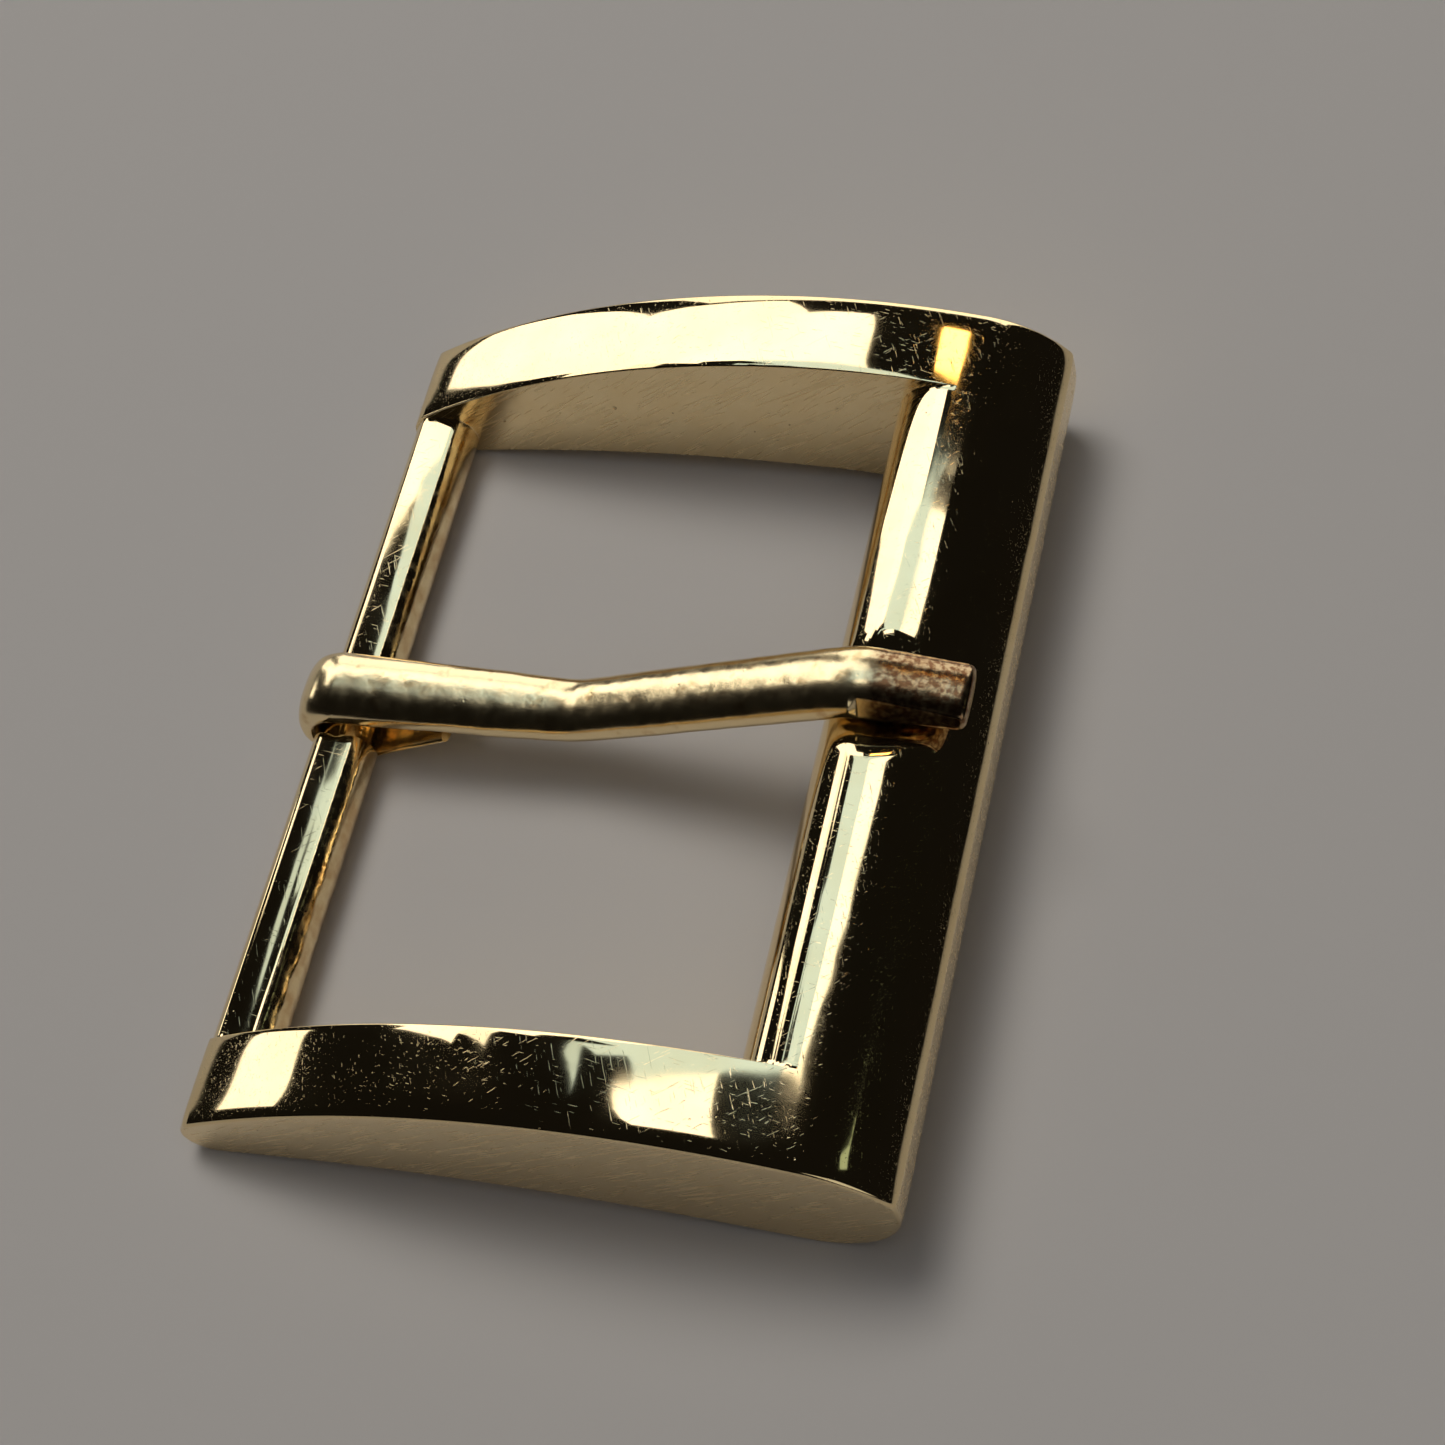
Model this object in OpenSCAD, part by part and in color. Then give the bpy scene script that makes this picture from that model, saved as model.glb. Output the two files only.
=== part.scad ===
// Heel-bar dress buckle for a belt, with a swinging tongue.
// The strap folds round the heel bar. X runs from the heel bar to the front bar,
// Y runs across the strap and Z points up from the table the buckle lies on.

/* [Frame] */
// strap width that the window takes
strap_width = 35; // [30:0.5:40]
// width of each side rail
rail_width = 4.4; // [3.5:0.1:5.5]
// length from the heel end to the front
buckle_length = 34.3; // [31:0.1:38]
// height of the arched top
arch_height = 9.1; // [8.6:0.1:10]
// radius of the arched top, in buckle lengths
arch_flatness = 1.172; // [1.1:0.01:1.3]
// where the arch is highest, as a share of the buckle length from the heel end
arch_peak_share = 0.647; // [0.6:0.005:0.68]
// radius of the blunt heel end
heel_nose_radius = 1.45; // [1.2:0.05:1.6]
// height of the hollow under the rails
underside_rise = 1.1; // [0.5:0.05:1.4]

/* [Front bar] */
// radius of the lower front edge, as a share of the arch height
front_nose_share = 0.484; // [0.44:0.005:0.5]
// radius of the front face above its widest point, as a share of the arch height
front_face_share = 0.286; // [0.24:0.005:0.32]
// radius of the shoulder above the front face, as a share of the arch height
shoulder_share = 0.571; // [0.5:0.005:0.64]
// distance from the front to the foot of the bar's inner face
front_bar_width = 9.2; // [8:0.1:10]
// lean of the inner face away from upright
inner_face_lean = 16; // [10:1:20]
// radius of the bar's inner top edge, as a share of the arch height
inner_edge_share = 0.286; // [0.2:0.005:0.32]

/* [Heel bar] */
// radius of the round heel bar
heel_bar_radius = 1.6; // [1.4:0.05:1.7]
// distance from the heel end to the middle of the heel bar
heel_bar_inset = 1.9; // [1.8:0.05:2.2]
// height of the flat along the top of the heel bar
heel_flat_height = 2.95; // [2.8:0.05:3.1]
// radius of the neck that the tongue turns on
neck_radius = 1.2; // [1:0.05:1.25]
// height of the neck's centre above the table
neck_height = 1.75; // [1.7:0.05:1.8]
// gap between the tongue and each shoulder of the neck
neck_side_gap = 0.15; // [0.1:0.01:0.3]
// radial clearance of the tongue's eye on the neck
eye_clearance = 0.07; // [0.05:0.01:0.1]

/* [Tongue] */
// width of the tongue at its eye
tongue_width = 3.7; // [3:0.1:4.2]
// how much narrower the rest of the tongue is than its eye
tongue_waist = 0.1; // [0.1:0.05:0.5]
// thickness of the tongue
tongue_thickness = 1.95; // [1.7:0.05:2.1]
// radius of the tongue's long edges
tongue_edge_radius = 0.7; // [0.4:0.05:0.8]
// how far the tongue and its rest sit from the middle of the buckle
tongue_offset = 0.7; // [-5:0.1:5]
// height of the top of the tongue's eye
eye_top_height = 4.9; // [4.8:0.05:5]
// slope of the tail that closes the eye
tail_slope = 27; // [24:1:30]
// distance from the heel bar to the low bend of the tongue
low_bend_reach = 12; // [10:0.1:14]
// height of the tongue's middle at the low bend
low_bend_height = 3.85; // [3.7:0.05:4.2]
// distance from the front back to the high bend of the tongue
high_bend_setback = 5.9; // [5.4:0.1:6.4]
// drop from the high bend to the tip
tip_drop = 0.45; // [0.2:0.05:0.6]
// distance from the front back to the tip
tip_setback = 0.8; // [0.4:0.1:1.5]

/* [Rest] */
// radius of the rest scooped across the front bar, in tongue widths
rest_roundness = 2.05; // [2:0.05:3]
// depth of the rest below the arched top at the high bend
rest_depth = 0.6; // [0.4:0.05:0.8]
// gap between the tongue and the rest
rest_gap = 0.15; // [0.12:0.01:0.2]

/* [Hidden] */
$fn = 96;
large_circle_facets = 720;
cut_margin = 1;
bend_proud = 0.02;
root_sink = 0.04;
tail_sink = 0.1;
tail_inset = 0.15;
heel_slope = 30;

buckle_width = strap_width + 2 * rail_width;
heel_bar_x = heel_bar_inset;
heel_bar_z = heel_bar_radius;
eye_hole_radius = neck_radius + eye_clearance;
eye_bottom_height = 0.02;
eye_radius = (eye_top_height - eye_bottom_height) / 2;
eye_centre_height = (eye_top_height + eye_bottom_height) / 2;
neck_width = tongue_width + 2 * neck_side_gap;
middle_x = (buckle_length + heel_bar_x - eye_radius) / 2;

front_nose_radius = front_nose_share * arch_height;
front_face_radius = front_face_share * arch_height;
shoulder_radius = shoulder_share * arch_height;
inner_edge_radius = inner_edge_share * arch_height;
rest_radius = rest_roundness * tongue_width;

// the long arch of the top, and where the slope up to it leaves the heel nose
arch_radius = arch_flatness * buckle_length;
arch_peak = arch_peak_share * buckle_length;
arch_centre = [arch_peak, arch_height - arch_radius];
heel_touch = heel_nose_radius * [1 - cos(heel_slope), 1 + sin(heel_slope)];

// the shallow arch of the underside touches down at both ends
underside_span = buckle_length - front_nose_radius - heel_nose_radius;
underside_radius = (underside_span * underside_span / 4 + underside_rise * underside_rise)
    / (2 * underside_rise);
underside_centre = [heel_nose_radius + underside_span / 2, underside_rise - underside_radius];

// the shoulder circle touches the arch from inside and holds the front face's circle
face_centre = [buckle_length - front_face_radius, front_nose_radius];
shoulder_centre = circle_inside(
    arch_centre, arch_radius - shoulder_radius,
    face_centre, shoulder_radius - front_face_radius);
face_touch_height = face_centre[1]
    + front_face_radius * sin(angle_between(shoulder_centre, face_centre));

// the inner edge circle touches the arch from inside and the leaning inner face
inner_foot = [buckle_length - front_bar_width, underside_rise - 0.1];
face_direction = [sin(inner_face_lean), cos(inner_face_lean)];
face_inward = [cos(inner_face_lean), -sin(inner_face_lean)];
edge_start = inner_foot + inner_edge_radius * face_inward;
edge_along = along_to_circle(edge_start, face_direction, arch_centre,
    arch_radius - inner_edge_radius);
edge_centre = edge_start + edge_along * face_direction;
edge_touch = edge_centre - inner_edge_radius * face_inward;

// middle line of the tongue
bar_width = tongue_width - tongue_waist;
root_point = [heel_bar_x, eye_top_height - tongue_thickness / 2 - root_sink];
low_bend_point = [heel_bar_x + low_bend_reach, low_bend_height];
high_bend_x = buckle_length - high_bend_setback;
high_bend_point = [high_bend_x,
    arch_top(high_bend_x) - rest_depth + rest_gap + tongue_thickness / 2];
tip_point = [buckle_length - tip_setback, high_bend_point[1] - tip_drop];
rise_angle = angle_between(low_bend_point, high_bend_point);
tip_angle = angle_between(high_bend_point, tip_point);

// height of the arched top at a distance from the heel end
function arch_top(x) = arch_centre[1] + sqrt(
    arch_radius * arch_radius - (x - arch_centre[0]) * (x - arch_centre[0]));

// angle of the line from one point to another
function angle_between(from, to) = atan2(to[1] - from[1], to[0] - from[0]);

// point at a distance from another along an angle
function step(from, angle, distance) = from + distance * [cos(angle), sin(angle)];

// distance along a line at which it meets a circle
function along_to_circle(start, direction, centre, radius) =
    let (offset = start - centre, half = offset * direction)
    -half + sqrt(half * half - offset * offset + radius * radius);

// upper of the two points that are set distances from two centres
function circle_inside(centre_a, radius_a, centre_b, radius_b) =
    let (
        gap = norm(centre_b - centre_a),
        along = (radius_a * radius_a - radius_b * radius_b + gap * gap) / (2 * gap),
        side = sqrt(radius_a * radius_a - along * along),
        unit = (centre_b - centre_a) / gap
    )
    centre_a + along * unit + side * [-unit[1], unit[0]];

// everything is drawn from the heel end and then centred on its own middle
module centred()
{
    translate([-middle_x, 0, 0])
        children();
}

// side view drawing stretched across the buckle
module across(width, middle = 0)
{
    translate([0, middle + width / 2, 0])
        rotate([90, 0, 0])
            linear_extrude(height = width)
                children();
}

// side view of a rail: arched top, blunt heel, rounded front
module rail_side()
{
    difference()
    {
        union()
        {
            intersection()
            {
                translate(arch_centre)
                    circle(arch_radius, $fn = large_circle_facets);
                polygon([
                    [heel_nose_radius, 0],
                    heel_touch,
                    heel_touch + arch_height * [sin(heel_slope), cos(heel_slope)],
                    [shoulder_centre[0], arch_height],
                    [shoulder_centre[0], 0]
                ]);
            }
            translate([heel_nose_radius, heel_nose_radius])
                circle(heel_nose_radius);
            intersection()
            {
                translate(shoulder_centre)
                    circle(shoulder_radius);
                translate([shoulder_centre[0] - cut_margin, face_touch_height])
                    square([buckle_length, arch_height]);
                translate(arch_centre)
                    circle(arch_radius, $fn = large_circle_facets);
            }
            intersection()
            {
                translate(face_centre)
                    circle(front_face_radius);
                translate([0, front_nose_radius])
                    square([buckle_length + cut_margin, face_touch_height - front_nose_radius]);
            }
            translate([shoulder_centre[0] - cut_margin, front_nose_radius])
                square([face_centre[0] - shoulder_centre[0] + cut_margin,
                    face_touch_height - front_nose_radius]);
            intersection()
            {
                translate([buckle_length - front_nose_radius, front_nose_radius])
                    circle(front_nose_radius);
                square([buckle_length + cut_margin, front_nose_radius]);
            }
        }
        translate(underside_centre)
            circle(underside_radius, $fn = large_circle_facets);
    }
}

// side view of the front bar: the rail's front with a leaning, rounded inner face
module front_bar_side()
{
    intersection()
    {
        rail_side();
        union()
        {
            translate(edge_centre)
                circle(inner_edge_radius);
            polygon([
                inner_foot - cut_margin * face_direction,
                edge_touch,
                edge_centre,
                [edge_centre[0], 2 * arch_height],
                [buckle_length + cut_margin, 2 * arch_height],
                [buckle_length + cut_margin, -cut_margin]
            ]);
        }
    }
}

// side view of the heel bar: round, with a flat along its top
module heel_bar_side()
{
    intersection()
    {
        translate([heel_bar_x, heel_bar_z])
            circle(heel_bar_radius);
        translate([heel_bar_x - heel_bar_radius, 0])
            square([2 * heel_bar_radius, heel_flat_height]);
    }
}

// end view of the tongue: a bar with rounded long edges
module tongue_end(thickness, edge_radius)
{
    square([thickness - 2 * edge_radius, bar_width], center = true);
    square([thickness, bar_width - 2 * edge_radius], center = true);
    for (side = [-1, 1], end = [-1, 1])
        translate([side * (thickness / 2 - edge_radius), end * (bar_width / 2 - edge_radius)])
            circle(edge_radius);
}

// straight length of the tongue between two points of its side view
module straight(from, to, thickness, edge_radius)
{
    translate([from[0], tongue_offset, from[1]])
        rotate([0, 90 - angle_between(from, to), 0])
            linear_extrude(height = norm(to - from))
                tongue_end(thickness, edge_radius);
}

// round lump of the tongue with a rounded rim, at a bend or round the eye
module round_lump(centre, radius, width, rim_radius)
{
    inner = min(rim_radius, radius - rim_radius);
    translate([centre[0], tongue_offset, centre[1]])
        rotate([90, 0, 0])
            rotate_extrude()
            {
                translate([0, -width / 2])
                    square([radius - rim_radius, width]);
                translate([0, rim_radius - width / 2])
                    square([radius, width - 2 * rim_radius]);
                for (side = [-1, 1])
                    translate([radius - rim_radius, side * (width / 2 - rim_radius)])
                        intersection()
                        {
                            circle(rim_radius);
                            translate([-inner, -rim_radius])
                                square(2 * rim_radius + inner);
                        }
            }
}

// tail that runs from under the eye up into the underside of the tongue
module tail()
{
    outward = [sin(tail_slope), -cos(tail_slope)];
    start = [heel_bar_x, eye_centre_height] + (eye_radius - tail_sink) * outward;
    rise = root_point[1] - start[1];
    across(bar_width - 2 * tail_inset, tongue_offset)
        polygon([
            [heel_bar_x, eye_centre_height],
            start,
            step(start, tail_slope, rise / sin(tail_slope)),
            root_point
        ]);
}

// opening of the eye: round on the neck, drawn out to a point under the tongue
module eye_opening()
{
    outward = [sin(tail_slope), -cos(tail_slope)];
    low_touch = [heel_bar_x, neck_height] + eye_hole_radius * outward;
    roof = neck_height + eye_hole_radius;
    point_rise = root_point[1] - tongue_thickness / 2 - low_touch[1];
    across(tongue_width + 2 * cut_margin, tongue_offset)
    {
        translate([heel_bar_x, neck_height])
            circle(eye_hole_radius);
        polygon([
            [heel_bar_x, neck_height],
            low_touch,
            step(low_touch, tail_slope, point_rise / sin(tail_slope)),
            [heel_bar_x, roof]
        ]);
    }
}

// scooped rest, cut parallel to one straight of the tongue
module rest_cut(from, to)
{
    lift = rest_radius - tongue_thickness / 2 - rest_gap;
    start = step(from, angle_between(from, to) + 90, lift);
    translate([start[0], tongue_offset, start[1]])
        rotate([0, 90 - angle_between(from, to), 0])
            cylinder(r = rest_radius, h = norm(to - from) + cut_margin);
}

module frame()
{
    color([0.83, 0.75, 0.55])
        centred()
        {
            for (side = [-1, 1])
                across(rail_width, side * (strap_width + rail_width) / 2)
                    rail_side();
            difference()
            {
                across(buckle_width - rail_width)
                    front_bar_side();
                rest_cut(step(high_bend_point, rise_angle + 180, high_bend_setback),
                    high_bend_point);
                rest_cut(high_bend_point, step(tip_point, tip_angle, cut_margin));
            }
            difference()
            {
                across(buckle_width - rail_width)
                    heel_bar_side();
                translate([-cut_margin, tongue_offset - neck_width / 2, -cut_margin])
                    cube([2 * heel_bar_x + 2 * cut_margin, neck_width,
                        heel_flat_height + 2 * cut_margin]);
            }
            translate([heel_bar_x, tongue_offset + neck_width / 2 + cut_margin, neck_height])
                rotate([90, 0, 0])
                    cylinder(r = neck_radius, h = neck_width + 2 * cut_margin);
        }
}

module tongue()
{
    color([0.78, 0.70, 0.50])
        centred()
            difference()
            {
                union()
                {
                    round_lump([heel_bar_x, eye_centre_height], eye_radius, tongue_width,
                        tongue_edge_radius / 2);
                    tail();
                    straight(root_point, low_bend_point, tongue_thickness, tongue_edge_radius);
                    straight(low_bend_point, high_bend_point, tongue_thickness,
                        tongue_edge_radius);
                    straight(high_bend_point, tip_point, tongue_thickness, tongue_edge_radius);
                    for (bend = [low_bend_point, high_bend_point])
                        round_lump(bend, tongue_thickness / 2 + bend_proud,
                            bar_width + 2 * bend_proud, tongue_edge_radius);
                }
                eye_opening();
            }
}

frame();
tongue();
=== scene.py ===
import bpy
import bmesh
import math
from mathutils import Matrix, Vector, noise


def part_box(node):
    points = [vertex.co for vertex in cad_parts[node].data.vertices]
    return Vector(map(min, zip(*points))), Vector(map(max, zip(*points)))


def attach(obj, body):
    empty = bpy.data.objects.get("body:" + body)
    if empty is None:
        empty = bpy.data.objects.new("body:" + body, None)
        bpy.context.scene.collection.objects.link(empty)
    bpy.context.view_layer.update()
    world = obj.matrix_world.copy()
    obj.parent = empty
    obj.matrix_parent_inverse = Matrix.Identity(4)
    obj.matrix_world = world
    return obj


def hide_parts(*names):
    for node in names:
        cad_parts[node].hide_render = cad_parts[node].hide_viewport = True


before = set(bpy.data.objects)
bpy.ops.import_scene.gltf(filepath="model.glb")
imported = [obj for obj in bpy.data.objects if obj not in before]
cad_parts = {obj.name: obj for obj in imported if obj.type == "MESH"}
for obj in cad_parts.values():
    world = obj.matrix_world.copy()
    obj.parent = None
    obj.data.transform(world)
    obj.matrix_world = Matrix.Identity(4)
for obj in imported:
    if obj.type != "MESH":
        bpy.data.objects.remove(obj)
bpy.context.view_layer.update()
tongueLow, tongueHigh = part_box("tongue")
mm = 0.001
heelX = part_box("frame")[0].x / mm  # where the heel end lies in the shared frame
tongueY = (tongueLow.y + tongueHigh.y) / 2 / mm
print("frame loaded")


# materials read object coordinates, in metres

def addNode(tree, kind, **values):
    node = tree.nodes.new(kind)
    for name, value in values.items():
        if name in node.inputs:
            node.inputs[name].default_value = value
        else:
            setattr(node, name, value)
    return node


def newMetal(name):
    material = bpy.data.materials.new(name)
    material.use_nodes = True
    tree = material.node_tree
    tree.nodes.clear()
    output = addNode(tree, "ShaderNodeOutputMaterial")
    shader = addNode(tree, "ShaderNodeBsdfPrincipled")
    shader.inputs["Metallic"].default_value = 1.0
    tree.links.new(shader.outputs["BSDF"], output.inputs["Surface"])
    place = addNode(tree, "ShaderNodeTexCoord").outputs["Object"]
    return material, tree, shader, place


def socketNamed(sockets, identifier):
    return next(socket for socket in sockets if socket.identifier == identifier)


def noiseAt(tree, place, scale, detail=2.0, distortion=0.0):
    made = addNode(tree, "ShaderNodeTexNoise", Scale=scale, Detail=detail, Roughness=0.55,
                   Distortion=distortion)
    tree.links.new(place, made.inputs["Vector"])
    return made.outputs["Fac"]


def mapped(tree, value, fromLow, fromHigh, toLow, toHigh):
    made = addNode(tree, "ShaderNodeMapRange")
    made.inputs["From Min"].default_value = fromLow
    made.inputs["From Max"].default_value = fromHigh
    made.inputs["To Min"].default_value = toLow
    made.inputs["To Max"].default_value = toHigh
    tree.links.new(value, made.inputs["Value"])
    return made.outputs["Result"]


def combined(tree, operation, a, b):
    made = addNode(tree, "ShaderNodeMath", operation=operation)
    for socket, value in zip(made.inputs, (a, b)):
        if isinstance(value, (int, float)):
            socket.default_value = value
        else:
            tree.links.new(value, socket)
    return made.outputs["Value"]


def strongest(tree, values):
    result = values[0]
    for value in values[1:]:
        result = combined(tree, "MAXIMUM", result, value)
    return result


def hairlines(tree, place, turn, across, along, threshold):
    # thin scratches: noise stretched along one direction, of which only the crests stay
    mapping = addNode(tree, "ShaderNodeMapping", vector_type="TEXTURE")
    mapping.inputs["Rotation"].default_value = [math.radians(angle) for angle in turn]
    mapping.inputs["Scale"].default_value = (1 / across, 1 / along, 1 / across)
    tree.links.new(place, mapping.inputs["Vector"])
    value = noiseAt(tree, mapping.outputs["Vector"], 1.0, 1.0, 0.35)
    return mapped(tree, value, threshold, threshold + 0.05, 0.0, 1.0)


def pits(tree, place, scale, size):
    # small round pits, one in a few cells
    cells = addNode(tree, "ShaderNodeTexVoronoi", Scale=scale, Randomness=1.0)
    tree.links.new(place, cells.inputs["Vector"])
    near = mapped(tree, cells.outputs["Distance"], size * 0.5, size, 1.0, 0.0)
    split = addNode(tree, "ShaderNodeSeparateColor")
    tree.links.new(cells.outputs["Color"], split.inputs["Color"])
    chosen = mapped(tree, split.outputs["Red"], 0.80, 0.81, 0.0, 1.0)
    return combined(tree, "MULTIPLY", near, chosen)


def bumped(tree, shader, layers):
    # one bump on top of another; each layer is (height, depth in metres)
    normal = None
    for height, depth in layers:
        made = addNode(tree, "ShaderNodeBump", Strength=1.0, Distance=depth)
        tree.links.new(height, made.inputs["Height"])
        if normal:
            tree.links.new(normal, made.inputs["Normal"])
        normal = made.outputs["Normal"]
    tree.links.new(normal, shader.inputs["Normal"])


def tinted(tree, shader, value, low, high, darker, lighter):
    ramp = addNode(tree, "ShaderNodeValToRGB")
    ramp.color_ramp.elements[0].position = low
    ramp.color_ramp.elements[0].color = (*darker, 1)
    ramp.color_ramp.elements[1].position = high
    ramp.color_ramp.elements[1].color = (*lighter, 1)
    tree.links.new(value, ramp.inputs["Fac"])
    tree.links.new(ramp.outputs["Color"], shader.inputs["Base Color"])
    return ramp.outputs["Color"]


gold = {
    "bright": (0.93, 0.75, 0.44),
    "warm": (0.89, 0.69, 0.38),
    "aged": (0.72, 0.50, 0.25),
}

# noise: repeats a metre, detail, and distortion if any
# tint: where the darker and the lighter gold stand on that noise
# range: one pair of values mapped onto another
# scratches: turn in degrees, repeats a metre across, repeats along, how rare they are
polish = {
    "tintNoise": (260, 3),
    "tint": (0.35, 0.65),
    "smudgeNoise": (420, 5),
    "smudgeRange": (0.3, 0.75, 0.03, 0.075),
    "scratches": [((0, 0, 24), 14000, 700, 0.70),
                  ((0, 0, -52), 13000, 600, 0.71),
                  ((0, 0, 81), 15000, 900, 0.71)],
    "scratchRough": 0.14,
    "scratchDepth": 0.0000032,
    "patchNoise": (190, 2),
    "patchRange": (0.30, 0.75, 0.15, 0.6),
    "waveNoise": (210, 1),
    "waveDepth": 0.000030,
    "nicks": (1100, 0.055),
    "nickDepth": 0.000014,
}


def polishedBrass(p):
    # mirror polish with a slight wave, smudges, and scratches that come in patches
    material, tree, shader, place = newMetal("polishedBrass")
    tinted(tree, shader, noiseAt(tree, place, *p["tintNoise"]), *p["tint"], gold["warm"], gold["bright"])
    scratches = strongest(tree, [hairlines(tree, place, *scratch) for scratch in p["scratches"]])
    patches = mapped(tree, noiseAt(tree, place, *p["patchNoise"]), *p["patchRange"])
    scratches = combined(tree, "MULTIPLY", scratches, patches)
    smudge = mapped(tree, noiseAt(tree, place, *p["smudgeNoise"]), *p["smudgeRange"])
    rough = combined(tree, "ADD", smudge, combined(tree, "MULTIPLY", scratches, p["scratchRough"]))
    tree.links.new(rough, shader.inputs["Roughness"])
    wave = noiseAt(tree, place, *p["waveNoise"])
    nicks = pits(tree, place, *p["nicks"])
    bumped(tree, shader, [(wave, p["waveDepth"]), (scratches, -p["scratchDepth"]), (nicks, -p["nickDepth"])])
    return material


satin = {
    "tintNoise": (500, 5),
    "tint": (0.3, 0.7),
    "roughNoise": (900, 4),
    "roughRange": (0.3, 0.7, 0.14, 0.22),
    "scratches": [((90, 58, 0), 4200, 260, 0.58),
                  ((90, 50, 0), 9000, 420, 0.60)],
    "scratchRough": 0.12,
    "scratchDepth": 0.0000030,
    "grainNoise": (420, 1),
    "grainDepth": 0.000016,
    "pits": [(620, 0.075), (1500, 0.10)],
    "pitDepth": 0.000045,
}


def satinBrass(p):
    # the flat ends, inner sides and front face: linished, with slanting scratches and casting pits
    material, tree, shader, place = newMetal("satinBrass")
    tinted(tree, shader, noiseAt(tree, place, *p["tintNoise"]), *p["tint"], gold["warm"], gold["bright"])
    lines = strongest(tree, [hairlines(tree, place, *scratch) for scratch in p["scratches"]])
    rough = mapped(tree, noiseAt(tree, place, *p["roughNoise"]), *p["roughRange"])
    rough = combined(tree, "ADD", rough, combined(tree, "MULTIPLY", lines, p["scratchRough"]))
    tree.links.new(rough, shader.inputs["Roughness"])
    holes = strongest(tree, [pits(tree, place, *pit) for pit in p["pits"]])
    grain = noiseAt(tree, place, *p["grainNoise"])
    bumped(tree, shader, [(grain, p["grainDepth"]), (lines, -p["scratchDepth"]), (holes, -p["pitDepth"])])
    return material


castSkin = {
    "tintNoise": (900, 5),
    "tint": (0.38, 0.62),
    "roughNoise": (1500, 4),
    "roughRange": (0.4, 0.65, 0.06, 0.26),
    "lumpNoise": (900, 3),
    "lumpDepth": 0.000025,
    "grainNoise": (4200, 3),
    "grainDepth": 0.000006,
}


def roughBrass(p):
    # the hidden sides of the heel bar, with the casting skin left in patches
    material, tree, shader, place = newMetal("roughBrass")
    tinted(tree, shader, noiseAt(tree, place, *p["tintNoise"]), *p["tint"], gold["aged"], gold["bright"])
    rough = mapped(tree, noiseAt(tree, place, *p["roughNoise"]), *p["roughRange"])
    tree.links.new(rough, shader.inputs["Roughness"])
    lumps = noiseAt(tree, place, *p["lumpNoise"])
    grain = noiseAt(tree, place, *p["grainNoise"])
    bumped(tree, shader, [(lumps, p["lumpDepth"]), (grain, p["grainDepth"])])
    return material


tumbled = {
    "tint": (0.26, 0.44),
    "roughNoise": (1300, 4),
    "roughRange": (0.3, 0.7, 0.15, 0.25),
    "tarnish": (0.19, 0.095, 0.045, 1),
    "tarnishFrom": 0.0120,
    "tarnishEase": 0.0007,
    "speckleNoise": (3600, 2),
    "speckleRange": (0.42, 0.62, 1.0, 0.65),
    "broadNoise": (820, 2),
    "broadDepth": 0.000014,
    "peelNoise": (2600, 3, 0.3),
    "peelDepth": 0.0000055,
    "pits": (2100, 0.2),
    "pitDepth": 0.000004,
}


def tongueBrass(p):
    # an orange peel of small dimples, darker in the low places, and a tarnished tip
    material, tree, shader, place = newMetal("tongueBrass")
    split = addNode(tree, "ShaderNodeSeparateXYZ")
    tree.links.new(place, split.inputs["Vector"])
    atTip = mapped(tree, split.outputs["X"], p["tarnishFrom"], p["tarnishFrom"] + p["tarnishEase"], 0.0, 1.0)
    speckle = mapped(tree, noiseAt(tree, place, *p["speckleNoise"]), *p["speckleRange"])
    tarnish = combined(tree, "MULTIPLY", atTip, speckle)
    peel = noiseAt(tree, place, *p["peelNoise"])
    broad = noiseAt(tree, place, *p["broadNoise"])
    hollows = combined(tree, "MULTIPLY", broad, combined(tree, "ADD", peel, 0.55))
    colour = tinted(tree, shader, hollows, *p["tint"], gold["aged"], gold["bright"])
    mixed = addNode(tree, "ShaderNodeMix", data_type="RGBA")
    socketNamed(mixed.inputs, "B_Color").default_value = p["tarnish"]
    tree.links.new(tarnish, socketNamed(mixed.inputs, "Factor_Float"))
    tree.links.new(colour, socketNamed(mixed.inputs, "A_Color"))
    tree.links.new(socketNamed(mixed.outputs, "Result_Color"), shader.inputs["Base Color"])
    rough = mapped(tree, noiseAt(tree, place, *p["roughNoise"]), *p["roughRange"])
    tree.links.new(rough, shader.inputs["Roughness"])
    pitted = pits(tree, place, *p["pits"])
    bumped(tree, shader, [(broad, p["broadDepth"]), (peel, p["peelDepth"]), (pitted, -p["pitDepth"])])
    return material


finishes = {
    "polished": polishedBrass(polish),
    "satin": satinBrass(satin),
    "rough": roughBrass(castSkin),
    "tongue": tongueBrass(tumbled),
}
print("materials made")


# modelling helpers: lengths are millimetres, and x counts from the heel end
steepEdge = math.radians(34)
flatSideEdge = math.radians(6)


def creased(bm):
    # smooth all over, but sharp at steep edges and round the large flat sides
    for face in bm.faces:
        face.smooth = True
    for edge in bm.edges:
        if len(edge.link_faces) == 2:
            flat = any(len(face.verts) > 8 for face in edge.link_faces)
            edge.smooth = edge.calc_face_angle(0) < (flatSideEdge if flat else steepEdge)


def newPiece(bm, name, materials, body, node):
    creased(bm)
    bmesh.ops.translate(bm, verts=bm.verts[:], vec=(heelX, 0, 0))
    bmesh.ops.scale(bm, verts=bm.verts[:], vec=(mm, mm, mm))
    mesh = bpy.data.meshes.new(name)
    bm.to_mesh(mesh)
    bm.free()
    piece = bpy.data.objects.new(name, mesh)
    bpy.context.scene.collection.objects.link(piece)
    for material in materials:
        mesh.materials.append(material)
    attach(piece, body)
    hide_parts(node)
    print(name, "has", len(mesh.vertices), "vertices")


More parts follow.
